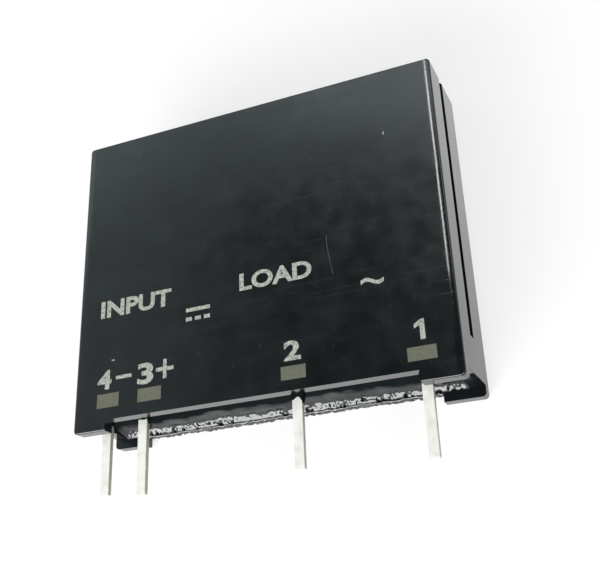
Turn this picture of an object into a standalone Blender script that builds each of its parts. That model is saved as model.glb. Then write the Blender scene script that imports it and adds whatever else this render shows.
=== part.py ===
"""Slim board-mounting solid state relay, lying on its back.

+Z is out of the marked front face, +X runs towards terminal 1, +Y towards the closed top of the case, and the
four flat terminals point down -Y. The origin is the centre of the case's back face. The moulded case is open
at the terminal end and filled with resin. Inside it a ceramic substrate carries the terminals' clips along its
lower edge and the circuit on its rear face.
"""

import math

import bmesh
import bpy

MM = 0.001

# Moulded case
CASE_WIDTH = 24.5 * MM
CASE_HEIGHT = 20.1 * MM  # feet included
CASE_THICKNESS = 5.5 * MM
FACE_WALL = 0.8 * MM  # front and back walls
SIDE_WALL = 0.9 * MM
TOP_WALL = 0.9 * MM
CORNER_RADIUS = 0.25 * MM
EDGE_FILLET = 0.12 * MM
FOOT_HEIGHT = 0.65 * MM
LEFT_FOOT_WIDTH = 2.25 * MM
RIGHT_FOOT_WIDTH = 2.47 * MM
GROOVE_WIDTH = 0.8 * MM
GROOVE_DEPTH = 0.35 * MM
GROOVE_SETBACK = 2.15 * MM  # front face to the groove
GROOVE_STOP = 2.85 * MM  # seat to the groove's lower end
ARC_STEPS = 6  # steps in a quarter circle
SHARP_ANGLE = math.radians(35)  # edges steeper than this stay sharp in the shading, and are bevelled

# Potting resin
RESIN_RECESS = 0.55 * MM  # below the case's rim
RESIN_CLEARANCE = 0.05 * MM  # round each embedded piece

# Terminals, numbered 4, 3, 2, 1 from the left
FIRST_TERMINAL_INSET = 1.79 * MM  # case side to the centre of terminal 4
TERMINAL_PITCHES = (2.54 * MM, 10.16 * MM, 7.62 * MM)
TERMINAL_REACH = {4: 3.7 * MM, 3: 3.9 * MM, 2: 3.6 * MM, 1: 3.9 * MM}  # below the seat
TERMINAL_WIDTH = 0.62 * MM
TERMINAL_THICKNESS = 0.32 * MM
TERMINAL_WALL_GAP = 0.15 * MM  # front wall to the terminals
TIP_CHAMFER = 0.08 * MM
CLIP_WIDTH = 0.8 * MM
CLIP_HEIGHT = 1.4 * MM
SOLDER_HEIGHT = 0.3 * MM
SOLDER_LENGTH = 0.35 * MM

# Ceramic substrate and its conductors
SUBSTRATE_THICKNESS = 0.8 * MM
SUBSTRATE_SIDE_GAP = 0.45 * MM
SUBSTRATE_TOP_GAP = 0.5 * MM
SUBSTRATE_COVER = 0.9 * MM  # resin over the substrate's lower edge
TRACK_THICKNESS = 0.05 * MM
TRACK_WIDTH = 1.2 * MM

# Power side
SPREADER_SIZE = 8.0 * MM
SPREADER_THICKNESS = 0.5 * MM
SPREADER_RISE = 5.95 * MM  # substrate's lower edge to the spreader
SPREADER_LEFT = 1.74 * MM  # centre of terminal 2 to the spreader's left edge
TRIAC_SIZE = 4.2 * MM
TRIAC_THICKNESS = 0.35 * MM
BOND_CLIP_WIDTH = 2.0 * MM
BOND_CLIP_THICKNESS = 0.25 * MM
WIRE_DIAMETER = 0.1 * MM
WIRE_RISE = 0.35 * MM
WIRE_POINTS = 13
LINE_TRACK_WIDTH = 1.4 * MM

# Control side
COUPLER_WIDTH = 4.4 * MM
COUPLER_LENGTH = 3.6 * MM
COUPLER_HEIGHT = 1.9 * MM
COUPLER_STANDOFF = 0.1 * MM
COUPLER_RISE = 7.95 * MM  # substrate's lower edge to the coupler's centre
COUPLER_PITCH = 2.54 * MM
LEAD_WIDTH = 0.4 * MM
LEAD_THICKNESS = 0.2 * MM
LEAD_REACH = 1.0 * MM
PAD_MARGIN = 0.4 * MM

# Chip components: length, width, height
LARGE_CHIP = (3.2 * MM, 1.6 * MM, 0.6 * MM)
SMALL_CHIP = (2.0 * MM, 1.25 * MM, 0.5 * MM)
CAPACITOR_CHIP = (3.2 * MM, 1.6 * MM, 1.4 * MM)
CHIP_OVERLAP = 0.4 * MM  # of a chip's end on its pad
CHIP_EDGE = 0.06 * MM

# Places worked out from the sizes
SIDE_X = CASE_WIDTH / 2
TOP_Y = CASE_HEIGHT / 2
SEAT_Y = -CASE_HEIGHT / 2
RIM_Y = SEAT_Y + FOOT_HEIGHT
RESIN_Y = RIM_Y + RESIN_RECESS
FRONT_INNER_Z = CASE_THICKNESS - FACE_WALL
CAVITY = ((-SIDE_X + SIDE_WALL, SIDE_X - SIDE_WALL), (RESIN_Y, TOP_Y - TOP_WALL), (FACE_WALL, FRONT_INNER_Z))
BLADE_FRONT_Z = FRONT_INNER_Z - TERMINAL_WALL_GAP
BOARD_FRONT_Z = BLADE_FRONT_Z - TERMINAL_THICKNESS
BOARD_BACK_Z = BOARD_FRONT_Z - SUBSTRATE_THICKNESS
TRACK_Z = BOARD_BACK_Z - TRACK_THICKNESS  # where components sit
BOARD_LEFT = CAVITY[0][0] + SUBSTRATE_SIDE_GAP
BOARD_RIGHT = CAVITY[0][1] - SUBSTRATE_SIDE_GAP
BOARD_LOW = RESIN_Y + SUBSTRATE_COVER
BOARD_HIGH = CAVITY[1][1] - SUBSTRATE_TOP_GAP
X4 = -SIDE_X + FIRST_TERMINAL_INSET
X3 = X4 + TERMINAL_PITCHES[0]
X2 = X3 + TERMINAL_PITCHES[1]
X1 = X2 + TERMINAL_PITCHES[2]
TERMINAL_X = {4: X4, 3: X3, 2: X2, 1: X1}
BEYOND = 2 * MM  # how far a cutter runs past what it cuts

pockets = []  # boxes that the resin leaves round the embedded pieces


def clear_scene():
    for obj in list(bpy.data.objects):
        bpy.data.objects.remove(obj, do_unlink=True)


def material(name, colour, roughness, metallic=0.0):
    made = bpy.data.materials.new(name)
    made.use_nodes = True
    shader = made.node_tree.nodes["Principled BSDF"]
    shader.inputs["Base Color"].default_value = (*colour, 1.0)
    shader.inputs["Roughness"].default_value = roughness
    shader.inputs["Metallic"].default_value = metallic
    made.diffuse_color = (*colour, 1.0)
    return made


def add_object(name, bm, finish):
    bmesh.ops.recalc_face_normals(bm, faces=bm.faces[:])
    mesh = bpy.data.meshes.new(name)
    bm.to_mesh(mesh)
    bm.free()
    obj = bpy.data.objects.new(name, mesh)
    bpy.context.scene.collection.objects.link(obj)
    if finish:
        mesh.materials.append(finish)
    else:
        obj.hide_render = True
        obj.display_type = "WIRE"
    return obj


def outline_solid(name, outline, depth, finish, axis="Z"):
    """A closed outline extruded along an axis by the two places in depth. Outline points are XY for axis Z,
    XZ for axis Y and YZ for axis X."""
    place = {
        "Z": lambda a, b, c: (a, b, c),
        "Y": lambda a, b, c: (a, c, b),
        "X": lambda a, b, c: (c, a, b),
    }[axis]
    bm = bmesh.new()
    rings = [[bm.verts.new(place(a, b, c)) for a, b in outline] for c in depth]
    for ring in rings:
        bm.faces.new(ring)
    count = len(outline)
    for i in range(count):
        j = (i + 1) % count
        bm.faces.new((rings[0][i], rings[0][j], rings[1][j], rings[1][i]))
    return add_object(name, bm, finish)


def rectangle(x_range, y_range):
    return [
        (x_range[0], y_range[0]),
        (x_range[1], y_range[0]),
        (x_range[1], y_range[1]),
        (x_range[0], y_range[1]),
    ]


def block(name, x_range, y_range, z_range, finish):
    """A box with its origin at its centre."""
    obj = outline_solid(name, rectangle(x_range, y_range), z_range, finish)
    centre = [sum(span) / 2 for span in (x_range, y_range, z_range)]
    for vertex in obj.data.vertices:
        for i in range(3):
            vertex.co[i] -= centre[i]
    obj.location = centre
    return obj


def pocket(x_range, y_range, z_range):
    """Notes a box, grown by the resin's clearance, that the resin leaves free."""
    grown = [(low - RESIN_CLEARANCE, high + RESIN_CLEARANCE) for low, high in (x_range, y_range, z_range)]
    pockets.append(grown)


def boolean(obj, other, operation):
    modifier = obj.modifiers.new(other.name, "BOOLEAN")
    modifier.object = other
    modifier.operation = operation
    modifier.solver = "EXACT"


def soften(obj, width, segments=1):
    modifier = obj.modifiers.new("edges", "BEVEL")
    modifier.width = width
    modifier.segments = segments
    modifier.limit_method = "ANGLE"
    modifier.angle_limit = SHARP_ANGLE


def shade(obj):
    obj.data.shade_smooth()
    obj.data.set_sharp_from_angle(angle=SHARP_ANGLE)


def arc(centre, radius, start, end, steps):
    angles = [math.radians(start + (end - start) * i / steps) for i in range(steps + 1)]
    return [(centre[0] + radius * math.cos(a), centre[1] + radius * math.sin(a)) for a in angles]


def case_outline(inset):
    """The case's rounded outline in XY, drawn in by inset."""
    radius = max(CORNER_RADIUS - inset, CORNER_RADIUS / 4)
    x = SIDE_X - inset - radius
    low, high = SEAT_Y + inset + radius, TOP_Y - inset - radius
    corners = (((x, low), -90), ((x, high), 0), ((-x, high), 90), ((-x, low), 180))
    return [point for centre, start in corners for point in arc(centre, radius, start, start + 90, ARC_STEPS)]


def case_shell(finish):
    """The case's outer form, with its front and back edges rounded."""
    bm = bmesh.new()
    quarter = [math.radians(90 * i / ARC_STEPS) for i in range(ARC_STEPS + 1)]
    lower = [(EDGE_FILLET * (1 - math.sin(a)), EDGE_FILLET * (1 - math.cos(a))) for a in quarter]
    upper = [(inset, CASE_THICKNESS - z) for inset, z in reversed(lower)]
    rings = [[bm.verts.new((x, y, z)) for x, y in case_outline(inset)] for inset, z in lower + upper]
    bm.faces.new(rings[0])
    bm.faces.new(rings[-1])
    count = len(rings[0])
    for below, above in zip(rings, rings[1:]):
        for i in range(count):
            j = (i + 1) % count
            bm.faces.new((below[i], below[j], above[j], above[i]))
    return add_object("case", bm, finish)


def groove_cutter():
    """A strip that runs up one side of the case, over its top and down the other side."""
    inner = [(x, y) for x, y in case_outline(GROOVE_DEPTH) if y > 0]
    x_in, x_out = SIDE_X - GROOVE_DEPTH, SIDE_X + BEYOND
    low, high = SEAT_Y + GROOVE_STOP, TOP_Y + BEYOND
    outline = [(x_in, low), *inner, (-x_in, low), (-x_out, low), (-x_out, high), (x_out, high), (x_out, low)]
    near = CASE_THICKNESS - GROOVE_SETBACK
    return outline_solid("groove_cutter", outline, (near - GROOVE_WIDTH, near), None)


def make_case(finish):
    case = case_shell(finish)
    below = (SEAT_Y - BEYOND, RIM_Y)
    through = (-BEYOND, CASE_THICKNESS + BEYOND)
    cavity_y = (SEAT_Y - BEYOND, CAVITY[1][1])
    between_feet = (-SIDE_X + LEFT_FOOT_WIDTH, SIDE_X - RIGHT_FOOT_WIDTH)
    beside = (-SIDE_X - BEYOND, SIDE_X + BEYOND)
    cutters = [
        block("cavity_cutter", CAVITY[0], cavity_y, CAVITY[2], None),
        block("rim_cutter", between_feet, below, through, None),
        block("side_cutter", beside, below, CAVITY[2], None),
        groove_cutter(),
    ]
    for cutter in cutters:
        boolean(case, cutter, "DIFFERENCE")
    shade(case)


def make_terminal(number, finish, solder):
    """A flat pin that ends in a clip round the substrate's lower edge, and the solder on the clip's rear blade."""
    x = TERMINAL_X[number]
    tip = SEAT_Y - TERMINAL_REACH[number]
    blade = (BOARD_FRONT_Z, BLADE_FRONT_Z)
    rear = (TRACK_Z - TERMINAL_THICKNESS, TRACK_Z)
    bend = BOARD_LOW - TERMINAL_THICKNESS
    top = BOARD_LOW + CLIP_HEIGHT
    half = TERMINAL_WIDTH / 2
    name = f"terminal_{number}"
    pin_outline = [
        (x - half + TIP_CHAMFER, tip),
        (x + half - TIP_CHAMFER, tip),
        (x + half, tip + TIP_CHAMFER),
        (x + half, bend + TERMINAL_THICKNESS / 2),
        (x - half, bend + TERMINAL_THICKNESS / 2),
        (x - half, tip + TIP_CHAMFER),
    ]
    pin = outline_solid(name, pin_outline, blade, finish)
    clip_outline = [
        (bend, blade[1]),
        (top, blade[1]),
        (top, blade[0]),
        (BOARD_LOW, blade[0]),
        (BOARD_LOW, rear[1]),
        (top, rear[1]),
        (top, rear[0]),
        (bend, rear[0]),
    ]
    across = (x - CLIP_WIDTH / 2, x + CLIP_WIDTH / 2)
    boolean(pin, outline_solid(f"{name}_clip", clip_outline, across, None, "X"), "UNION")
    fillet = [(top, TRACK_Z), (top, TRACK_Z - SOLDER_HEIGHT), (top + SOLDER_LENGTH, TRACK_Z)]
    outline_solid(f"terminal_solder_{number}", fillet, across, solder, "X")
    pocket((x - half, x + half), (SEAT_Y, BOARD_LOW), blade)
    pocket(across, (bend, top + SOLDER_LENGTH), (rear[0], blade[1]))


def make_track(name, outline, finish):
    """A flat conductor on the substrate's rear face."""
    outline_solid(name, outline, (TRACK_Z, BOARD_BACK_Z), finish)


def make_chip(name, x_range, y_range, height, finish):
    """A chip component standing on the tracks."""
    spans = (x_range, y_range, (TRACK_Z - height, TRACK_Z))
    soften(block(name, *spans, finish), CHIP_EDGE)
    pocket(*spans)


def make_lead(name, x_body, side, y, finish):
    """A bent lead from the coupler's side, at x_body, down to the track beside it."""
    shoulder = TRACK_Z - COUPLER_STANDOFF - COUPLER_HEIGHT / 2
    knee = x_body + side * LEAD_THICKNESS
    toe = x_body + side * LEAD_REACH
    outline = [
        (x_body, TRACK_Z),
        (x_body, shoulder),
        (knee, shoulder),
        (knee, TRACK_Z - LEAD_THICKNESS),
        (toe, TRACK_Z - LEAD_THICKNESS),
        (toe, TRACK_Z),
    ]
    across = (y - LEAD_WIDTH / 2, y + LEAD_WIDTH / 2)
    outline_solid(name, outline, across, finish, "Y")
    pocket((min(x_body, toe), max(x_body, toe)), across, (shoulder, TRACK_Z))


def make_control_side(finishes):
    """Input resistor and optical coupler between terminals 3 and 4, and what the coupler switches."""
    copper, tin, ceramic, dark = (finishes[key] for key in ("copper", "tin", "resistor", "coupler"))
    length, width, height = LARGE_CHIP
    coupler_x = X3 + LEAD_THICKNESS + COUPLER_WIDTH / 2
    coupler_y = BOARD_LOW + COUPLER_RISE
    left, right = coupler_x - COUPLER_WIDTH / 2, coupler_x + COUPLER_WIDTH / 2
    lower, upper = coupler_y - COUPLER_PITCH / 2, coupler_y + COUPLER_PITCH / 2
    body_z = (TRACK_Z - COUPLER_STANDOFF - COUPLER_HEIGHT, TRACK_Z - COUPLER_STANDOFF)
    body_y = (coupler_y - COUPLER_LENGTH / 2, coupler_y + COUPLER_LENGTH / 2)
    soften(block("photocoupler", (left, right), body_y, body_z, dark), CHIP_EDGE)
    pocket((left, right), body_y, (body_z[0], TRACK_Z))
    for number, (x_body, side, y) in enumerate(
        ((left, -1, lower), (left, -1, upper), (right, 1, upper), (right, 1, lower)), start=1
    ):
        make_lead(f"photocoupler_lead_{number}", x_body, side, y, tin)

    half = TRACK_WIDTH / 2
    chip_high = body_y[0] - PAD_MARGIN
    chip_low = chip_high - length
    clip_half = CLIP_WIDTH / 2
    make_chip("input_resistor", (X3 - width / 2, X3 + width / 2), (chip_low, chip_high), height, ceramic)
    plus = rectangle((X3 - clip_half, X3 + clip_half), (BOARD_LOW, chip_low + CHIP_OVERLAP))
    make_track("input_plus_track", plus, copper)
    led_x = (left - LEAD_REACH - PAD_MARGIN / 4, left + PAD_MARGIN)
    make_track("led_track", rectangle(led_x, (chip_high - CHIP_OVERLAP, lower + LEAD_WIDTH)), copper)
    minus = [
        (X4 - clip_half, BOARD_LOW),
        (X4 + clip_half, BOARD_LOW),
        (X4 + clip_half, upper - LEAD_WIDTH),
        (left - PAD_MARGIN / 4, upper - LEAD_WIDTH),
        (left - PAD_MARGIN / 4, upper + LEAD_WIDTH),
        (X4 - clip_half, upper + LEAD_WIDTH),
    ]
    make_track("input_minus_track", minus, copper)

    length, width, height = SMALL_CHIP
    feed_right = right + LEAD_REACH + PAD_MARGIN + CHIP_OVERLAP / 2
    chip_x = (feed_right - CHIP_OVERLAP, feed_right - CHIP_OVERLAP + length)
    feed_x = (right + PAD_MARGIN / 4, feed_right)
    for y, use in ((upper, "gate"), (lower, "trigger")):
        make_chip(f"{use}_resistor", chip_x, (y - width / 2, y + width / 2), height, ceramic)
        make_track(f"{use}_feed_track", rectangle(feed_x, (y - half, y + half)), copper)
    return chip_x[1], lower, upper


def make_power_side(finishes, chip_end, lower, upper):
    """Triac on its heat spreader between terminals 2 and 1, its gate wire and clip, and the snubber above it."""
    copper, tin, ceramic = (finishes[key] for key in ("copper", "tin", "resistor"))
    half, clip_half = TRACK_WIDTH / 2, CLIP_WIDTH / 2
    left = X2 - SPREADER_LEFT
    right = left + SPREADER_SIZE
    low = BOARD_LOW + SPREADER_RISE
    high = low + SPREADER_SIZE
    spreader_z = (TRACK_Z - SPREADER_THICKNESS, TRACK_Z)
    soften(block("heat_spreader", (left, right), (low, high), spreader_z, finishes["spreader"]), CHIP_EDGE)
    pocket((left, right), (low, high), spreader_z)

    middle = ((left + right) / 2, (low + high) / 2)
    triac_x = (middle[0] - TRIAC_SIZE / 2, middle[0] + TRIAC_SIZE / 2)
    triac_y = (middle[1] - TRIAC_SIZE / 2, middle[1] + TRIAC_SIZE / 2)
    triac_top = spreader_z[0] - TRIAC_THICKNESS
    block("triac_chip", triac_x, triac_y, (triac_top, spreader_z[0]), finishes["silicon"])
    pocket(triac_x, triac_y, (triac_top, spreader_z[0]))

    length, width, height = LARGE_CHIP
    snubber_y = (high + half, high + half + width)
    resistor_x = (left + TRACK_WIDTH - CHIP_OVERLAP, left + TRACK_WIDTH - CHIP_OVERLAP + length)
    load = [
        (X2 - clip_half, BOARD_LOW),
        (X2 + clip_half, BOARD_LOW),
        (X2 + clip_half, low),
        (right, low),
        (right, high),
        (left + TRACK_WIDTH, high),
        (left + TRACK_WIDTH, snubber_y[1]),
        (left, snubber_y[1]),
        (left, lower + half),
        (chip_end - CHIP_OVERLAP, lower + half),
        (chip_end - CHIP_OVERLAP, lower - half),
        (left, lower - half),
        (left, low),
        (X2 - clip_half, low),
    ]
    make_track("load_track", load, copper)
    make_chip("snubber_resistor", resistor_x, snubber_y, height, ceramic)
    length, width, height = CAPACITOR_CHIP
    bridge_x = (resistor_x[1] - CHIP_OVERLAP, resistor_x[1] - CHIP_OVERLAP + 2 * CHIP_OVERLAP + TRACK_WIDTH)
    capacitor_x = (bridge_x[1] - CHIP_OVERLAP, bridge_x[1] - CHIP_OVERLAP + length)
    make_track("snubber_track", rectangle(bridge_x, snubber_y), copper)
    make_chip("snubber_capacitor", capacitor_x, snubber_y, height, finishes["capacitor"])

    line_x = (X1 - LINE_TRACK_WIDTH / 2, X1 + LINE_TRACK_WIDTH / 2)
    line = [
        (line_x[0], BOARD_LOW),
        (line_x[1], BOARD_LOW),
        (line_x[1], snubber_y[1]),
        (capacitor_x[1] - CHIP_OVERLAP, snubber_y[1]),
        (capacitor_x[1] - CHIP_OVERLAP, snubber_y[0]),
        (line_x[0], snubber_y[0]),
    ]
    make_track("line_track", line, copper)

    clip_start = middle[0]
    clip_top = triac_top - BOND_CLIP_THICKNESS
    post = (line_x[0], line_x[0] + BOND_CLIP_THICKNESS)
    foot_top = TRACK_Z - BOND_CLIP_THICKNESS
    bond = [
        (clip_start, clip_top),
        (clip_start, triac_top),
        (post[0], triac_top),
        (post[0], TRACK_Z),
        (line_x[1] - PAD_MARGIN / 4, TRACK_Z),
        (line_x[1] - PAD_MARGIN / 4, foot_top),
        (post[1], foot_top),
        (post[1], clip_top),
    ]
    bond_y = (middle[1] - BOND_CLIP_WIDTH / 2, middle[1] + BOND_CLIP_WIDTH / 2)
    outline_solid("triac_bond_clip", bond, bond_y, finishes["spreader"], "Y")
    pocket((clip_start, post[1]), bond_y, (clip_top, triac_top))
    pocket((post[0], line_x[1]), bond_y, (clip_top, TRACK_Z))

    gate_x = (chip_end - CHIP_OVERLAP, chip_end + PAD_MARGIN)
    make_track("gate_track", rectangle(gate_x, (upper - half, upper + half)), copper)
    make_gate_wire((gate_x[1] + chip_end) / 2, triac_x[0] + PAD_MARGIN, upper, triac_top, tin)


def make_gate_wire(x_start, x_end, y, triac_top, finish):
    """A bonding wire that arches from the gate track to the triac. It touches both with its side."""
    radius = WIRE_DIAMETER / 2
    z_start, z_end = TRACK_Z - radius, triac_top - radius
    curve = bpy.data.curves.new("gate_wire", "CURVE")
    curve.dimensions = "3D"
    curve.bevel_depth = radius
    curve.bevel_resolution = 2
    curve.use_fill_caps = True
    spline = curve.splines.new("POLY")
    spline.points.add(WIRE_POINTS - 1)
    for i, point in enumerate(spline.points):
        t = i / (WIRE_POINTS - 1)
        lift = (WIRE_RISE + SPREADER_THICKNESS) * math.sin(math.pi * t)
        point.co = (x_start + (x_end - x_start) * t, y, z_start + (z_end - z_start) * t - lift, 1)
    curve.materials.append(finish)
    wire = bpy.data.objects.new("gate_wire", curve)
    bpy.context.scene.collection.objects.link(wire)
    peak = TRACK_Z - SPREADER_THICKNESS - TRIAC_THICKNESS - SPREADER_THICKNESS - WIRE_RISE - WIRE_DIAMETER
    pocket((x_start - radius, x_end + radius), (y - radius, y + radius), (peak, TRACK_Z))


def make_resin(finish):
    """The filling of the case, with a pocket for each embedded piece. The pockets run into one another and out
    along the terminals."""
    resin = block("potting_resin", *CAVITY, finish)
    first = None
    for number, spans in enumerate(pockets):
        cutter = block(f"pocket_{number}", *spans, None)
        if first is None:
            first = cutter
        else:
            boolean(first, cutter, "UNION")
    boolean(resin, first, "DIFFERENCE")


def main():
    clear_scene()
    finishes = {
        "case": material("case_black", (0.018, 0.020, 0.022), 0.35),
        "resin": material("resin_black", (0.006, 0.006, 0.007), 0.08),
        "tin": material("tinned_copper", (0.80, 0.79, 0.75), 0.25, 1.0),
        "solder": material("solder", (0.62, 0.62, 0.60), 0.35, 1.0),
        "ceramic": material("alumina", (0.86, 0.85, 0.80), 0.55),
        "copper": material("conductor", (0.72, 0.45, 0.20), 0.4, 1.0),
        "spreader": material("copper_sheet", (0.75, 0.40, 0.24), 0.35, 1.0),
        "silicon": material("silicon", (0.20, 0.21, 0.24), 0.2, 0.6),
        "coupler": material("coupler_black", (0.03, 0.03, 0.03), 0.5),
        "resistor": material("resistor_black", (0.05, 0.05, 0.055), 0.4),
        "capacitor": material("capacitor_tan", (0.45, 0.31, 0.17), 0.5),
    }
    make_case(finishes["case"])
    board_x, board_y = (BOARD_LEFT, BOARD_RIGHT), (BOARD_LOW, BOARD_HIGH)
    block("ceramic_substrate", board_x, board_y, (BOARD_BACK_Z, BOARD_FRONT_Z), finishes["ceramic"])
    pocket(board_x, board_y, (TRACK_Z, BOARD_FRONT_Z))
    for number in TERMINAL_X:
        make_terminal(number, finishes["tin"], finishes["solder"])
    make_power_side(finishes, *make_control_side(finishes))
    make_resin(finishes["resin"])


main()
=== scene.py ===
"""Looks of the slim board-mounting solid state relay.

The relay lies on its back on a pale floor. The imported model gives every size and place. This script adds the
finishes, the print on the front face, the drawn-up surface of the resin, and the camera and light.
"""

import math

import bmesh
import bpy
import numpy as np
from mathutils import Matrix, Vector


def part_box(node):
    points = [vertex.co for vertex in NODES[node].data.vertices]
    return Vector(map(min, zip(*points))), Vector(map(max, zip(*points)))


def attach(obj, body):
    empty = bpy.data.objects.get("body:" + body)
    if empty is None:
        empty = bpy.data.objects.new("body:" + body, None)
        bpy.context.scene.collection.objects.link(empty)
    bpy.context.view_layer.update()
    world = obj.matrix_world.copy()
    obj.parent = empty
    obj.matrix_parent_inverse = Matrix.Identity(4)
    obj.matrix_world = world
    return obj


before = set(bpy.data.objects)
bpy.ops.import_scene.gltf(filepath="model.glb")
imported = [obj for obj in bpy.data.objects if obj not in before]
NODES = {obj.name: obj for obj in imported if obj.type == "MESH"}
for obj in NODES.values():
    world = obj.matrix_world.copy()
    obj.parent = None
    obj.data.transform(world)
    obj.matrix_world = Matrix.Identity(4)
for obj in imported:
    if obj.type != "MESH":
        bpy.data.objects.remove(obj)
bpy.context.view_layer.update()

MM = 0.001
PER_METRE = 1000.0  # millimetres in a metre
TERMINAL_NUMBERS = (1, 2, 3, 4)

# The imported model
CASE_LOW, CASE_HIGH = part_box("case")
RESIN_LOW, RESIN_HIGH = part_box("potting_resin")
TERMINALS = {number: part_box(f"terminal_{number}") for number in TERMINAL_NUMBERS}
FACE_Z = CASE_HIGH.z
SEAT_Y = CASE_LOW.y
HALF_WIDTH = (CASE_HIGH.x - CASE_LOW.x) / 2

# Camera
CAMERA_PLACE = Vector((22.28, -24.0, 52.26)) * MM
CAMERA_TARGET = Vector((3.24, -0.21, 5.5)) * MM
CAMERA_ROLL = math.radians(2.5)
CAMERA_LENS = 56.04
CAMERA_SHIFT_UP = -0.0811
NEAR_CLIP = 1 * MM
FAR_CLIP = 10.0

# Print, in millimetres across from the case's middle and up from its seat
INK_THICKNESS = 0.006 * MM
INK_SINK = 0.001 * MM
MARKS = {
    4: (-10.62, 1.40, -9.08, 2.27),
    3: (-7.74, 1.40, -6.12, 2.22),
    2: (1.71, 1.28, 3.24, 2.07),
    1: (9.18, 1.17, 10.83, 1.95),
}
WORDS = {
    "number_4": ("4", (-10.66, 2.54, -9.64, 3.76)),
    "number_3": ("3", (-7.80, 2.46, -6.68, 3.80)),
    "number_2": ("2", (1.93, 2.38, 2.98, 3.56)),
    "word_input": ("INPUT", (-10.67, 7.22, -5.54, 8.37)),
    "word_load": ("LOAD", (-0.83, 7.22, 3.88, 8.35)),
}
MINUS_SIGN = (-9.33, 3.07, -8.21, 3.30)
PLUS_SIGN = (-6.50, 2.62, -5.28, 3.82)
SIGN_STROKE = 0.24
NUMBER_ONE = (9.68, 2.32, 10.28, 3.48)
DIGIT_STROKE = 0.28
FLAG_DROP = 0.22  # of the figure's height
FLAG_TOP_START = 0.3  # of the stroke, in from the stem's left edge
FLAG_TIP_DROPS = 1.9  # flag drops from the top to the tip's lower corner
FLAG_ROOT_DROPS = 1.3  # flag drops from the top to where the flag's lower edge meets the stem
DIRECT_SIGN = (-4.48, 5.95, -2.83, 6.78)
ALTERNATING_SIGN = (6.84, 5.98, 8.22, 6.48)
WAVE_STEPS = 24
DASHES = 3
LETTER_THICKENING = 0.034  # of the letters' size
LETTER_DEPTH = 0.5  # before they are pressed to the ink's thickness
LETTER_CURVE_STEPS = 6
LETTER_WELD = 1e-5
INK_TONES = ((0.40, 0.40, 0.35), (0.17, 0.17, 0.15))
MARK_TONES = ((0.115, 0.117, 0.083), (0.082, 0.083, 0.06))

# Wear on the front face, in the same coordinates
NICKS = [(-9.70, 4.30, -9.50, 4.39), (8.89, 15.50, 8.99, 15.70)]
SCRATCH = [(4.90, 9.69), (4.93, 9.00), (5.02, 8.20), (5.20, 7.12)]
SCRATCH_WIDTH = 0.025
SCRATCH_TONES = ((0.09, 0.10, 0.10), (0.05, 0.055, 0.055))
SCRATCH_ROUGHNESS = 0.5

# Relief, gloss and painted shade of the case's faces, in millimetres
EDGE_ROLL_MM = 0.5  # width of the bands at both sides where the faces fall away
EDGE_FALL_MM = 0.20  # fall per square millimetre of that
GRAIN_MM = 0.0008
SPECKLE_MM = 0.0009
WAVE_MM = 0.045
SCRATCH_MM = 0.0010
EDGE_POLISH = 0.5  # share of the roughness left where handling has polished the sides
POLISH_INSET_MM = (0.5, 0.35)  # distance in from the sides where the polish starts and is full
GROOVE_SPAN_MM = (2.5, 3.4)  # height over the back, with a margin
GROOVE_WALL_MM = 0.4  # depth in from the side that counts as the groove's wall, whose reflection is taken away as painted shade
GROOVE_MOUTH_MM = (0.05, 0.01)  # distance in from the side over which the wall turns into the side's surface
MASK_SOFTNESS_MM = 0.02
SIDE_SHADE_FADE_MM = (-10.0, 12.0)  # painted shade: height up the sides over which their dimmed reflection comes back to full
# painted shade: share of the sides' reflection left at the bottom
SIDE_SHADE_LEAST = 0.3
FACE_START_MM = (0.03, 0.005)  # distance in from the side over which the front face's full gloss gives way to the sides' painted shade
CASE_SPECULAR = 0.5
CASE_COAT = 0.25

# Resin surface
RESIN_SHADE_MM = (1.2, 2.1)  # painted shade: height over the back where the resin's reflection starts to fade and is gone
RESIN_SHADE_WANDER_MM = 0.22  # how far that height wanders along the resin
RESIN_SPECULAR = 0.5
GRID_STEP = 0.06 * MM
NOISE_CELLS = 400  # on a side of the noise's grid
WALL_GAP = 0.01 * MM
SIDE_RISE = 0.35 * MM
FRONT_RISE = 0.38 * MM
FRONT_REACH = 0.9 * MM
SIDE_REACH = 0.25 * MM
REAR_SLOPE = 0.27
REAR_START = 1.4 * MM
REAR_EASE = 0.25 * MM
LIP_RISE = 0.34 * MM
LIP_REACH = 0.20 * MM
LIP_CREST = 0.12 * MM
REAR_BAND = 0.75 * MM
REAR_CRINKLE = 0.34 * MM
SWELL = 0.17 * MM
PIN_DEPTH = 0.32 * MM
PIN_RISE = {4: 0.85 * MM, 3: 0.85 * MM, 2: 1.05 * MM, 1: 1.2 * MM}
PIN_REACH = 0.13 * MM
COLLAR_LEAST = 0.6  # share of the rise at a pin that is everywhere
COLLAR_UNEVEN = 0.7  # share of it that comes and goes
COLLAR_INSET = 0.08 * MM
RESIN_FILM = 0.02 * MM
RIM_DEPTH = 0.55 * MM
RIM_MARGIN = 0.03 * MM
LEFT_FOOT_WIDTH = 2.25 * MM
RIGHT_FOOT_WIDTH = 2.47 * MM
BEAD_MARGIN = 0.38 * MM
BEAD_RISE = 0.22 * MM
BEAD_LIFT = 0.001 * MM
BEAD_FRONT = 0.24 * MM
BEAD_LEAST = 0.4  # shares of the bead's rise: everywhere, rough and slow
BEAD_ROUGH = 0.6
BEAD_SLOW = 0.3

# Noise in the resin's shape: cell size and seed
LIP_NOISE = (0.3 * MM, 3)
FINE_NOISE = (0.14 * MM, 5)
COARSE_NOISE = (0.4 * MM, 7)
SWELL_NOISE = (3.4 * MM, 11)
BEAD_ROUGH_NOISE = (0.16 * MM, 13)
BEAD_SLOW_NOISE = (0.7 * MM, 17)
COLLAR_NOISE = (0.35 * MM, 19)

# Edges of the pins
PIN_WELD = 0.001 * MM
PIN_ROUNDING = 0.03 * MM
PIN_ROUNDING_STEPS = 2
PIN_EDGE_ANGLE = math.radians(40)

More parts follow.
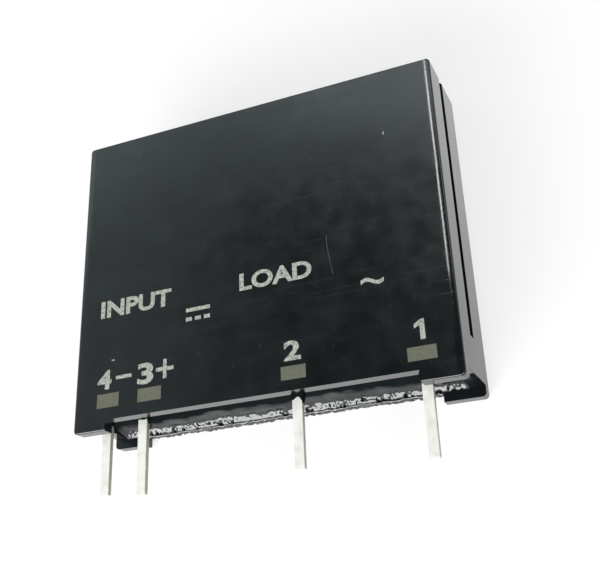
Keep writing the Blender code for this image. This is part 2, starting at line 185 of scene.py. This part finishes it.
# Floor
FLOOR_SIZE = 3.0
FLOOR_GAP = 0.02 * MM
FLOOR_COLOUR = (0.90, 0.90, 0.89, 1.0)
FLOOR_GLOW = (0.97, 0.97, 0.96, 1.0)
FLOOR_GLOW_SHARE = 0.69

# Studio: brightness seen on a ceiling, by slope from straight up towards +X and +Y
STUDIO_BASE = 0.06
STUDIO_COLOUR = (0.84, 0.96, 1.0, 1.0)
HORIZON = (0.02, 0.20)  # height of the direction over which the ceiling fades in
LEFT_WALL = (-0.44, -0.66, 0.44)  # slope where it starts, slope where it is full, brightness
REAR_PANEL = (0.55, 0.74, 0.75)
REAR_WINDOW = (-0.55, -0.32, 1.5)
REAR_END = (1.2, 0.9)
RIGHT_WALL = (0.5, 1.2, 0.15)

# Softboxes: place, width, length and power; each faces the relay
SOFTBOXES = {
    "key_light": (Vector((0.22, -0.18, 0.34)), 0.20, 0.20, 0.85),
    "fill_light": (Vector((-0.30, -0.25, 0.28)), 0.25, 0.25, 0.2),
    "low_light": (Vector((-0.14, -0.27, 0.12)), 0.42, 0.20, 2.5),
    "edge_light": (Vector((-0.006, 0.165, 0.30)), 0.018, 0.085, 0.07),
}


# ---------------------------------------------------------------- finishes


class Finish:
    """A material being made, with coordinates in millimetres of the model's frame."""

    def __init__(self, name, colour, roughness, metallic=0.0):
        self.material = bpy.data.materials.new(name)
        self.material.use_nodes = True
        self.tree = self.material.node_tree
        self.shader = self.tree.nodes["Principled BSDF"]
        self.set("Base Color", (*colour, 1.0))
        self.set("Roughness", roughness)
        self.set("Metallic", metallic)
        scaled = self.add("ShaderNodeMapping")
        scaled.inputs["Scale"].default_value = (PER_METRE,) * 3
        self.join(self.add("ShaderNodeTexCoord").outputs["Object"], scaled.inputs["Vector"])
        self.place = scaled.outputs["Vector"]

    def add(self, kind, **settings):
        node = self.tree.nodes.new(kind)
        for key, value in settings.items():
            setattr(node, key, value)
        return node

    def join(self, start, end):
        self.tree.links.new(start, end)

    def set(self, socket, value):
        self.shader.inputs[socket].default_value = value

    def feed(self, socket, output):
        self.join(output, self.shader.inputs[socket])

    def noise(self, per_mm, detail=2.0, stretch=(1.0, 1.0, 1.0), distortion=0.0):
        """Noise with that many cells to the millimetre, from 0 to 1."""
        mapping = self.add("ShaderNodeMapping")
        mapping.inputs["Scale"].default_value = stretch
        self.join(self.place, mapping.inputs["Vector"])
        node = self.add("ShaderNodeTexNoise")
        node.inputs["Scale"].default_value = per_mm
        node.inputs["Detail"].default_value = detail
        node.inputs["Distortion"].default_value = distortion
        self.join(mapping.outputs["Vector"], node.inputs["Vector"])
        return node.outputs["Fac"]

    def remap(self, value, low, high, to_low=0.0, to_high=1.0):
        """Goes smoothly from to_low at low to to_high at high."""
        node = self.add("ShaderNodeMapRange", interpolation_type="SMOOTHSTEP")
        self.join(value, node.inputs["Value"])
        node.inputs["From Min"].default_value = low
        node.inputs["From Max"].default_value = high
        node.inputs["To Min"].default_value = to_low
        node.inputs["To Max"].default_value = to_high
        return node.outputs["Result"]

    def math(self, operation, *operands):
        node = self.add("ShaderNodeMath", operation=operation)
        for socket, operand in zip(node.inputs, operands):
            if isinstance(operand, (int, float)):
                socket.default_value = operand
            else:
                self.join(operand, socket)
        return node.outputs["Value"]

    def blend(self, factor, first, second):
        node = self.add("ShaderNodeMix", data_type="RGBA")
        self.join(factor, node.inputs["Factor"])
        for socket, colour in (("A", first), ("B", second)):
            target = [s for s in node.inputs if s.name == socket and s.type == "RGBA"][0]
            if isinstance(colour, tuple):
                target.default_value = (*colour, 1.0)
            else:
                self.join(colour, target)
        return [s for s in node.outputs if s.type == "RGBA"][0]

    def part_of(self, vector, axis):
        node = self.add("ShaderNodeSeparateXYZ")
        self.join(vector, node.inputs["Vector"])
        return node.outputs[axis]

    def bump(self, height, depth_mm, coat=False):
        """Relief of the given depth, for a height from 0 to 1."""
        node = self.add("ShaderNodeBump")
        node.inputs["Distance"].default_value = depth_mm * MM
        self.join(height, node.inputs["Height"])
        self.feed("Normal", node.outputs["Normal"])
        if coat:
            self.feed("Coat Normal", node.outputs["Normal"])


def case_finish():
    """Black moulded plastic: a soft gloss, faint waves, fine grain, hairline scratches and rolled-off edges.

    The groove's walls have their reflection taken away, as painted shade, and the sides' reflection is dimmed
    towards the bottom, as painted shade.
    """
    made = Finish("moulded_black", (0.006, 0.008, 0.009), 0.3)
    tone = made.remap(made.noise(0.35, 3.0), 0.35, 0.7)
    dust = made.remap(made.noise(5.5, 3.0), 0.70, 0.80)
    base = made.blend(tone, (0.003, 0.004, 0.0045), (0.006, 0.0078, 0.0085))
    made.feed("Base Color", made.blend(dust, base, (0.05, 0.055, 0.055)))
    made.set("IOR", 1.5)
    made.set("Coat Roughness", 0.1)
    made.set("Coat IOR", 1.5)

    across = made.math("ABSOLUTE", made.part_of(made.place, "X"))
    side = HALF_WIDTH * PER_METRE
    polish_start, polish_full = POLISH_INSET_MM
    polish = made.remap(across, side - polish_start, side - polish_full, 1.0, EDGE_POLISH)
    gloss = made.remap(made.noise(0.9, 3.0), 0.3, 0.75, 0.18, 0.26)
    made.feed("Roughness", made.math("MULTIPLY", gloss, polish))

    depth = made.part_of(made.place, "Z")
    low, high = GROOVE_SPAN_MM
    mouth_start, mouth_end = GROOVE_MOUTH_MM
    wall = side - GROOVE_WALL_MM
    # painted shade: the groove's walls lose their specular and coat, so the groove reads dark
    outside = made.remap(across, side - mouth_start, side - mouth_end)
    in_front = made.remap(depth, high, high + MASK_SOFTNESS_MM)
    behind = made.remap(depth, low - MASK_SOFTNESS_MM, low, 1.0, 0.0)
    inward = made.remap(across, wall, wall + MASK_SOFTNESS_MM, 1.0, 0.0)
    clear_of_groove_shade = made.math("MAXIMUM", outside, in_front)
    clear_of_groove_shade = made.math("MAXIMUM", clear_of_groove_shade, behind)
    clear_of_groove_shade = made.math("MAXIMUM", clear_of_groove_shade, inward)
    # painted shade: the sides reflect less towards the bottom
    painted_side_fade = made.remap(made.part_of(made.place, "Y"), *SIDE_SHADE_FADE_MM, SIDE_SHADE_LEAST, 1.0)
    face_start, face_end = FACE_START_MM
    on_face = made.remap(across, side - face_start, side - face_end, 1.0, 0.0)
    # painted shade of the groove and of the sides' lower part, applied to the specular and coat
    reflection_after_painted_shade = made.math("MULTIPLY", clear_of_groove_shade, made.math("MAXIMUM", painted_side_fade, on_face))
    made.feed("Specular IOR Level", made.math("MULTIPLY", reflection_after_painted_shade, CASE_SPECULAR))
    made.feed("Coat Weight", made.math("MULTIPLY", reflection_after_painted_shade, CASE_COAT))

    beyond = made.math("SUBTRACT", across, side - EDGE_ROLL_MM)
    roll = made.math("POWER", made.math("MAXIMUM", beyond, 0.0), 2.0)
    hair = made.noise(1.0, 1.0, (0.15, 9.0, 1.0), 0.6)
    height = made.math("MULTIPLY", roll, -EDGE_FALL_MM)
    for part, size in (
        (made.noise(9.0, 3.0), GRAIN_MM),
        (made.noise(2.6, 2.0), SPECKLE_MM),
        (made.noise(0.16, 1.0), WAVE_MM),
        (made.remap(hair, 0.70, 0.74), -SCRATCH_MM),
    ):
        height = made.math("ADD", height, made.math("MULTIPLY", part, size))
    made.bump(height, 1.0, coat=True)
    return made.material


def resin_finish():
    """Cured black epoxy, glossy, with soft ripples. Its reflection is faded towards the front wall, as painted
    shade.
    """
    made = Finish("potting_black", (0.004, 0.005, 0.006), 0.06)
    made.feed("Base Color", made.blend(made.noise(1.5), (0.003, 0.004, 0.005), (0.008, 0.010, 0.011)))
    made.feed("Roughness", made.remap(made.noise(2.5, 3.0), 0.3, 0.8, 0.05, 0.13))
    made.set("IOR", 1.6)
    # painted shade: the resin's reflection fades out towards the front wall
    wander = made.remap(made.noise(0.7, 2.0), 0.3, 0.7, -RESIN_SHADE_WANDER_MM, RESIN_SHADE_WANDER_MM)
    up = made.math("ADD", made.part_of(made.place, "Z"), wander)
    made.feed("Specular IOR Level", made.remap(up, *RESIN_SHADE_MM, RESIN_SPECULAR, 0.0))
    made.bump(made.noise(0.8, 1.0), 0.003)
    return made.material


def terminal_finish():
    """Tinned copper strip: bright rolled faces with fine lines along the pin, and duller sheared edges."""
    made = Finish("tinned_strip", (0.95, 0.94, 0.91), 0.4, 0.35)
    facing = made.add("ShaderNodeNewGeometry").outputs["Normal"]
    sideways = made.math("ABSOLUTE", made.part_of(facing, "X"))
    sheared = made.remap(sideways, 0.55, 0.85)
    stain = made.remap(made.noise(2.2, 4.0), 0.42, 0.72)
    bright = made.blend(stain, (0.84, 0.83, 0.77), (0.75, 0.74, 0.67))
    cut = made.blend(made.noise(5.0, 3.0, (1.0, 0.3, 2.0)), (0.50, 0.45, 0.38), (0.20, 0.175, 0.15))
    made.feed("Base Color", made.blend(sheared, bright, cut))
    rolled = made.noise(6.0, 3.0, (3.0, 0.12, 3.0))
    worn = made.remap(made.noise(3.0, 3.0), 0.3, 0.7, 0.30, 0.48)
    made.feed("Roughness", worn)
    made.bump(made.math("ADD", rolled, made.math("MULTIPLY", made.noise(1.6, 2.0), 3.0)), 0.006)
    return made.material


def ink_finish(name, light, dark):
    """Marking ink, thin and mottled so that some of the black shows through."""
    made = Finish(name, light, 0.55)
    specks = made.remap(made.noise(6.0, 2.0), 0.30, 0.62)
    patches = made.blend(made.noise(0.9, 2.0), light, tuple(0.85 * value for value in light))
    made.feed("Base Color", made.blend(specks, dark, patches))
    made.feed("Roughness", made.remap(made.noise(5.0), 0.3, 0.7, 0.45, 0.7))
    made.bump(made.noise(10.0, 2.0), 0.002)
    return made.material


def plain_finish(name, first, second, roughness, metallic=0.0, per_mm=3.0, relief_mm=0.003):
    """A mottled finish for the inner pieces and the scratch: two tones, a varying gloss and a fine relief."""
    made = Finish(name, first, roughness, metallic)
    made.feed("Base Color", made.blend(made.noise(per_mm, 3.0), first, second))
    gloss = made.remap(made.noise(2 * per_mm, 3.0), 0.3, 0.7, 0.8 * roughness, 1.2 * roughness)
    made.feed("Roughness", gloss)
    made.bump(made.noise(3 * per_mm, 3.0), relief_mm)
    return made.material


def finish_nodes():
    """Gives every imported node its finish: the first whose key starts its name, or ends it after a "_"."""
    conductor = plain_finish("fired_conductor", (0.74, 0.47, 0.24), (0.58, 0.34, 0.16), 0.42, 1.0)
    copper = plain_finish("copper_sheet", (0.78, 0.43, 0.27), (0.62, 0.32, 0.20), 0.34, 1.0)
    chip = plain_finish("chip_resistor_black", (0.045, 0.045, 0.05), (0.02, 0.02, 0.024), 0.4)
    finishes = {
        "case": case_finish(),
        "potting_resin": resin_finish(),
        "terminal_solder": plain_finish("solder_grey", (0.66, 0.66, 0.64), (0.5, 0.5, 0.49), 0.33, 1.0),
        "terminal": terminal_finish(),
        "ceramic_substrate": plain_finish("alumina_white", (0.86, 0.85, 0.81), (0.78, 0.77, 0.73), 0.5),
        "snubber_capacitor": plain_finish("capacitor_tan", (0.47, 0.33, 0.19), (0.38, 0.26, 0.14), 0.5),
        "heat_spreader": copper,
        "triac_bond_clip": copper,
        "triac_chip": plain_finish("silicon_grey", (0.22, 0.23, 0.26), (0.15, 0.16, 0.19), 0.2, 0.6),
        "photocoupler_lead": plain_finish("tinned_lead", (0.8, 0.79, 0.76), (0.66, 0.65, 0.62), 0.3, 1.0),
        "photocoupler": plain_finish("coupler_black", (0.03, 0.03, 0.03), (0.018, 0.018, 0.02), 0.5),
        "gate_wire": plain_finish("bond_wire", (0.85, 0.84, 0.82), (0.75, 0.74, 0.72), 0.25, 1.0),
        "_resistor": chip,
        "_track": conductor,
    }
    for name, node in NODES.items():
        matches = [key for key in finishes if name.startswith(key) or (key[0] == "_" and name.endswith(key))]
        node.data.materials.clear()
        node.data.materials.append(finishes[matches[0]])
    return finishes


# ---------------------------------------------------------------- pieces


def add_piece(name, bm, finish):
    """A new piece of the object, riding on its one body."""
    bmesh.ops.recalc_face_normals(bm, faces=bm.faces[:])
    mesh = bpy.data.meshes.new(name)
    bm.to_mesh(mesh)
    bm.free()
    mesh.materials.append(finish)
    piece = bpy.data.objects.new(name, mesh)
    bpy.context.scene.collection.objects.link(piece)
    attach(piece, "root")
    return piece


def face_point(across_mm, up_mm, z):
    """A point over the front face, from millimetres across from its middle and up from the seat."""
    return Vector((across_mm * MM, SEAT_Y + up_mm * MM, z))


def extrude_outline(bm, outline):
    """Adds a flat shape of ink's thickness on the front face. The outline is in print coordinates."""
    rings = []
    for z in (FACE_Z - INK_SINK, FACE_Z + INK_THICKNESS):
        rings.append([bm.verts.new(face_point(across, up, z)) for across, up in outline])
        bm.faces.new(rings[-1])
    count = len(outline)
    for i in range(count):
        j = (i + 1) % count
        bm.faces.new((rings[0][i], rings[0][j], rings[1][j], rings[1][i]))


def corners(left, low, right, high):
    return [(left, low), (right, low), (right, high), (left, high)]


def print_bars(name, bars, ink):
    bm = bmesh.new()
    for bar in bars:
        extrude_outline(bm, corners(*bar))
    add_piece(name, bm, ink)


def print_plus(ink):
    left, low, right, high = PLUS_SIGN
    x, y = (left + right) / 2, (low + high) / 2
    half = SIGN_STROKE / 2
    outline = [
        (left, y - half), (x - half, y - half), (x - half, low), (x + half, low), (x + half, y - half),
        (right, y - half), (right, y + half), (x + half, y + half), (x + half, high), (x - half, high),
        (x - half, y + half), (left, y + half),
    ]
    bm = bmesh.new()
    extrude_outline(bm, outline)
    add_piece("sign_plus", bm, ink)


def print_direct_sign(ink):
    """A bar over three dashes, for direct current."""
    left, low, right, high = DIRECT_SIGN
    dash = (right - left) / 4
    bars = [(left, high - SIGN_STROKE, right, high)]
    for i in range(DASHES):
        start = left + i * (right - left - dash) / (DASHES - 1)
        bars.append((start, low, start + dash, low + SIGN_STROKE))
    print_bars("sign_direct", bars, ink)


def print_alternating_sign(ink):
    """One wave, for alternating current."""
    left, low, right, high = ALTERNATING_SIGN
    swing = (high - low - SIGN_STROKE) / 2
    middle = (low + high) / 2
    points = []
    for i in range(WAVE_STEPS + 1):
        turn = i / WAVE_STEPS
        points.append((left + (right - left) * turn, middle + swing * math.sin(2 * math.pi * turn)))
    upper = [(x, y + SIGN_STROKE / 2) for x, y in points]
    lower = [(x, y - SIGN_STROKE / 2) for x, y in points]
    bm = bmesh.new()
    extrude_outline(bm, lower + upper[::-1])
    add_piece("sign_alternating", bm, ink)


def print_word(name, text, box, ink):
    """Plain lettering that fills the box."""
    curve = bpy.data.curves.new(name, "FONT")
    curve.body = text
    curve.extrude = LETTER_DEPTH
    curve.offset = LETTER_THICKENING
    curve.resolution_u = LETTER_CURVE_STEPS
    source = bpy.data.objects.new(name, curve)
    bpy.context.scene.collection.objects.link(source)
    bpy.context.view_layer.update()
    mesh = bpy.data.meshes.new_from_object(source.evaluated_get(bpy.context.evaluated_depsgraph_get()))
    bpy.data.objects.remove(source)
    bpy.data.curves.remove(curve)
    bm = bmesh.new()
    bm.from_mesh(mesh)
    bpy.data.meshes.remove(mesh)
    bmesh.ops.remove_doubles(bm, verts=bm.verts, dist=LETTER_WELD)
    low = [min(v.co[i] for v in bm.verts) for i in range(3)]
    high = [max(v.co[i] for v in bm.verts) for i in range(3)]
    start = face_point(box[0], box[1], FACE_Z - INK_SINK)
    end = face_point(box[2], box[3], FACE_Z + INK_THICKNESS)
    for vertex in bm.verts:
        for i in range(3):
            share = (vertex.co[i] - low[i]) / (high[i] - low[i])
            vertex.co[i] = start[i] + (end[i] - start[i]) * share
    add_piece(name, bm, ink)


def print_one(ink):
    """The figure 1: an upright with a short flag."""
    left, low, right, high = NUMBER_ONE
    stem = right - DIGIT_STROKE
    drop = (high - low) * FLAG_DROP
    outline = [
        (stem, low), (right, low), (right, high), (stem + DIGIT_STROKE * FLAG_TOP_START, high),
        (left, high - drop), (left, high - FLAG_TIP_DROPS * drop), (stem, high - FLAG_ROOT_DROPS * drop),
    ]
    bm = bmesh.new()
    extrude_outline(bm, outline)
    add_piece("number_1", bm, ink)


def print_scratch(finish):
    """A fine bright scratch down the front face."""
    left = [(x - SCRATCH_WIDTH / 2, y) for x, y in SCRATCH]
    right = [(x + SCRATCH_WIDTH / 2, y) for x, y in SCRATCH]
    bm = bmesh.new()
    extrude_outline(bm, left + right[::-1])
    add_piece("face_scratch", bm, finish)


def print_face():
    ink = ink_finish("marking_ink", *INK_TONES)
    mark_ink = ink_finish("mark_ink", *MARK_TONES)
    for number, box in MARKS.items():
        print_bars(f"terminal_mark_{number}", [box], mark_ink)
    print_one(ink)
    for name, (text, box) in WORDS.items():
        print_word(name, text, box, ink)
    print_bars("sign_minus", [MINUS_SIGN], ink)
    print_plus(ink)
    print_direct_sign(ink)
    print_alternating_sign(ink)
    print_bars("face_nicks", NICKS, ink)
    print_scratch(plain_finish("scraped_plastic", *SCRATCH_TONES, SCRATCH_ROUGHNESS))


def ease(share):
    """From 0 to 1 with level ends, so that neighbouring cells join smoothly."""
    return share**3 * (share * (6 * share - 15) + 10)


def smooth_noise(x, z, cell, seed):
    """Smooth noise from 0 to 1: random heights on a grid, joined without creases."""
    heights = np.random.default_rng(seed).random((NOISE_CELLS, NOISE_CELLS))
    u, v = x / cell, z / cell
    i, j = np.floor(u).astype(int), np.floor(v).astype(int)
    s, t = ease(u - i), ease(v - j)
    near = heights[i, j] * (1 - s) + heights[i + 1, j] * s
    far = heights[i, j + 1] * (1 - s) + heights[i + 1, j + 1] * s
    return near * (1 - t) + far * t


def resin_height(x, z):
    """How far the resin stands proud of its level: drawn up at the walls and pins, crinkled at the rear."""
    across, to_rear = x - RESIN_LOW.x, z - RESIN_LOW.z
    to_side = np.minimum(across, RESIN_HIGH.x - x)
    to_front = RESIN_HIGH.z - z
    ahead = REAR_START - to_rear
    height = REAR_SLOPE * (np.hypot(ahead, REAR_EASE) + ahead) / 2
    height += SIDE_RISE * np.exp(-to_side / SIDE_REACH) + FRONT_RISE * np.exp(-to_front / FRONT_REACH)
    ragged = 0.5 + smooth_noise(across, to_rear, *LIP_NOISE)
    height += LIP_RISE * ragged * np.exp(-((to_rear / LIP_REACH) ** 2))
    near_rear = np.clip(1 - to_rear / REAR_BAND, 0, 1) ** 2
    fine = smooth_noise(across, to_rear, *FINE_NOISE) - 0.5
    coarse = smooth_noise(across, to_rear, *COARSE_NOISE) - 0.5
    height += REAR_CRINKLE * near_rear * (fine + coarse)
    swell = smooth_noise(across, to_rear, *SWELL_NOISE) - 0.5
    height += SWELL * swell * np.clip(to_rear / REAR_BAND, 0, 1)
    crest = LIP_CREST * np.exp(-((to_rear / LIP_REACH) ** 2))
    height = np.minimum(height, RIM_DEPTH - RIM_MARGIN + crest)
    for number, (low, high) in TERMINALS.items():
        off_x = np.maximum(np.maximum(low.x + COLLAR_INSET - x, x - high.x + COLLAR_INSET), 0)
        off_z = np.maximum(np.maximum(high.z - PIN_DEPTH - z, z - high.z), 0)
        uneven = COLLAR_LEAST + COLLAR_UNEVEN * smooth_noise(across, to_rear, *COLLAR_NOISE)
        collar = PIN_RISE[number] * uneven * np.exp(-np.hypot(off_x, off_z) / PIN_REACH)
        height = np.maximum(height, collar)
    return np.maximum(height, RESIN_FILM)


def bead_height(x, z):
    """Resin that ran over the rear wall's rim, crinkled."""
    across = x - RESIN_LOW.x
    rough = smooth_noise(across, z, *BEAD_ROUGH_NOISE)
    slow = smooth_noise(across, z, *BEAD_SLOW_NOISE)
    front = np.clip(0.5 + (RESIN_LOW.z - z) / BEAD_FRONT, 0, 1)
    return RESIN_FILM / 4 + BEAD_RISE * front * (BEAD_LEAST + BEAD_ROUGH * rough + BEAD_SLOW * slow)


def make_skin(name, x_span, z_span, level, height, sink, finish):
    """A closed skin from a height map that points down -Y from the level, flat on its inner side."""
    columns = round((x_span[1] - x_span[0]) / GRID_STEP)
    rows = round((z_span[1] - z_span[0]) / GRID_STEP)
    xs = np.linspace(*x_span, columns + 1)
    zs = np.linspace(*z_span, rows + 1)
    rise = height(*np.meshgrid(xs, zs, indexing="ij"))
    bm = bmesh.new()
    outer, inner = [], []
    for i in range(columns + 1):
        outer.append([bm.verts.new((xs[i], level - rise[i, j], zs[j])) for j in range(rows + 1)])
        inner.append([bm.verts.new((xs[i], level + sink, zs[j])) for j in range(rows + 1)])
    for i in range(columns):
        for j in range(rows):
            for sheet in (outer, inner):
                bm.faces.new((sheet[i][j], sheet[i + 1][j], sheet[i + 1][j + 1], sheet[i][j + 1]))
    border = [(i, 0) for i in range(columns)] + [(columns, j) for j in range(rows)]
    border += [(i, rows) for i in range(columns, 0, -1)] + [(0, j) for j in range(rows, 0, -1)]
    for (i, j), (k, m) in zip(border, border[1:] + border[:1]):
        bm.faces.new((outer[i][j], outer[k][m], inner[k][m], inner[i][j]))
    piece = add_piece(name, bm, finish)
    piece.data.shade_smooth()


def make_resin_surface(finish):
    across = (RESIN_LOW.x + WALL_GAP, RESIN_HIGH.x - WALL_GAP)
    deep = (RESIN_LOW.z + WALL_GAP, RESIN_HIGH.z - WALL_GAP)
    make_skin("resin_surface", across, deep, RESIN_LOW.y, resin_height, RESIN_FILM, finish)
    between_feet = (CASE_LOW.x + LEFT_FOOT_WIDTH + WALL_GAP, CASE_HIGH.x - RIGHT_FOOT_WIDTH - WALL_GAP)
    rear_rim = (CASE_LOW.z + BEAD_MARGIN, RESIN_LOW.z)
    make_skin("resin_bead", between_feet, rear_rim, RESIN_LOW.y - RIM_DEPTH, bead_height, -BEAD_LIFT, finish)


def ease_edges():
    """A hair of rounding on the pins' edges, as the plating leaves them."""
    for number in TERMINAL_NUMBERS:
        pin = NODES[f"terminal_{number}"]
        pin.modifiers.new("joined_corners", "WELD").merge_threshold = PIN_WELD
        modifier = pin.modifiers.new("plated_edges", "BEVEL")
        modifier.width = PIN_ROUNDING
        modifier.segments = PIN_ROUNDING_STEPS
        modifier.limit_method = "ANGLE"
        modifier.angle_limit = PIN_EDGE_ANGLE


# ---------------------------------------------------------------- camera, floor and light


def make_camera():
    data = bpy.data.cameras.new("camera")
    data.lens = CAMERA_LENS
    data.shift_y = CAMERA_SHIFT_UP
    data.clip_start = NEAR_CLIP
    data.clip_end = FAR_CLIP
    camera = bpy.data.objects.new("camera", data)
    bpy.context.scene.collection.objects.link(camera)
    forward = (CAMERA_TARGET - CAMERA_PLACE).normalized()
    upright = Vector((0, 1, 0))
    upright = (upright - upright.dot(forward) * forward).normalized()
    upright = Matrix.Rotation(CAMERA_ROLL, 3, forward) @ upright
    right = forward.cross(upright)
    turn = Matrix((right, upright, -forward)).transposed()
    camera.matrix_world = Matrix.Translation(CAMERA_PLACE) @ turn.to_4x4()
    bpy.context.scene.camera = camera


def seen_directly(tree):
    """1 for camera, glossy and transmission rays, 0 for the rest."""
    path = tree.nodes.new("ShaderNodeLightPath")
    total = path.outputs["Is Camera Ray"]
    for name in ("Is Glossy Ray", "Is Transmission Ray"):
        node = tree.nodes.new("ShaderNodeMath")
        node.operation = "MAXIMUM"
        tree.links.new(total, node.inputs[0])
        tree.links.new(path.outputs[name], node.inputs[1])
        total = node.outputs["Value"]
    return total


def make_floor():
    """A pale floor that looks white and still shows the object's shadow."""
    bm = bmesh.new()
    bmesh.ops.create_grid(bm, x_segments=1, y_segments=1, size=FLOOR_SIZE / 2)
    mesh = bpy.data.meshes.new("floor")
    bm.to_mesh(mesh)
    bm.free()
    floor = bpy.data.objects.new("floor", mesh)
    floor.location.z = CASE_LOW.z - FLOOR_GAP
    bpy.context.scene.collection.objects.link(floor)
    material = bpy.data.materials.new("floor_white")
    material.use_nodes = True
    tree = material.node_tree
    tree.nodes.clear()
    diffuse = tree.nodes.new("ShaderNodeBsdfDiffuse")
    diffuse.inputs["Color"].default_value = FLOOR_COLOUR
    glow = tree.nodes.new("ShaderNodeEmission")
    glow.inputs["Color"].default_value = FLOOR_GLOW
    share = tree.nodes.new("ShaderNodeMath")
    share.operation = "MULTIPLY"
    share.inputs[1].default_value = FLOOR_GLOW_SHARE
    mix = tree.nodes.new("ShaderNodeMixShader")
    output = tree.nodes.new("ShaderNodeOutputMaterial")
    tree.links.new(seen_directly(tree), share.inputs[0])
    tree.links.new(share.outputs["Value"], mix.inputs["Fac"])
    tree.links.new(diffuse.outputs["BSDF"], mix.inputs[1])
    tree.links.new(glow.outputs["Emission"], mix.inputs[2])
    tree.links.new(mix.outputs["Shader"], output.inputs["Surface"])
    mesh.materials.append(material)


class Studio:
    """The world's node tree while it is being made."""

    def __init__(self, tree):
        self.tree = tree

    def ramp(self, value, low, high, gain=1.0):
        """Rises smoothly from 0 at low to the gain at high."""
        node = self.tree.nodes.new("ShaderNodeMapRange")
        node.interpolation_type = "SMOOTHSTEP"
        self.tree.links.new(value, node.inputs["Value"])
        node.inputs["From Min"].default_value = low
        node.inputs["From Max"].default_value = high
        node.inputs["To Max"].default_value = gain
        return node.outputs["Result"]

    def falling(self, value, high, low, gain=1.0):
        """Rises from 0 at high to the gain at low, as the value falls."""
        return self.ramp(self.math("MULTIPLY", value, -1.0), -high, -low, gain)

    def math(self, operation, first, second):
        node = self.tree.nodes.new("ShaderNodeMath")
        node.operation = operation
        for socket, value in zip(node.inputs, (first, second)):
            if isinstance(value, float):
                socket.default_value = value
            else:
                self.tree.links.new(value, socket)
        return node.outputs["Value"]


def make_world():
    """A dim studio with a soft wall on the left, a bright panel behind and another wall on the right."""
    world = bpy.data.worlds.new("studio")
    world.use_nodes = True
    bpy.context.scene.world = world
    tree = world.node_tree
    studio = Studio(tree)
    split = tree.nodes.new("ShaderNodeSeparateXYZ")
    tree.links.new(tree.nodes.new("ShaderNodeTexCoord").outputs["Generated"], split.inputs["Vector"])
    height = studio.math("MAXIMUM", split.outputs["Z"], HORIZON[0])
    across = studio.math("DIVIDE", split.outputs["X"], height)
    rearward = studio.math("DIVIDE", split.outputs["Y"], height)
    window = studio.math("ADD", studio.ramp(across, *REAR_WINDOW), REAR_PANEL[2])
    panel = studio.math("MULTIPLY", studio.ramp(rearward, *REAR_PANEL[:2]), window)
    panel = studio.math("MULTIPLY", panel, studio.falling(rearward, *REAR_END))
    light = studio.math("ADD", panel, studio.falling(across, *LEFT_WALL))
    light = studio.math("ADD", light, studio.ramp(across, *RIGHT_WALL))
    light = studio.math("MULTIPLY", light, studio.ramp(split.outputs["Z"], *HORIZON))
    light = studio.math("ADD", light, STUDIO_BASE)
    background = tree.nodes["Background"]
    tree.links.new(light, background.inputs["Strength"])
    background.inputs["Color"].default_value = STUDIO_COLOUR


def make_lights():
    for name, (place, width, length, power) in SOFTBOXES.items():
        data = bpy.data.lights.new(name, "AREA")
        data.shape = "RECTANGLE"
        data.size = width
        data.size_y = length
        data.energy = power
        lamp = bpy.data.objects.new(name, data)
        lamp.location = place
        lamp.rotation_euler = (-place).to_track_quat("-Z", "Y").to_euler()
        bpy.context.scene.collection.objects.link(lamp)


def main():
    bpy.context.scene.view_settings.view_transform = "Standard"
    finishes = finish_nodes()
    print_face()
    make_resin_surface(finishes["potting_resin"])
    ease_edges()
    make_camera()
    make_floor()
    make_world()
    make_lights()


main()
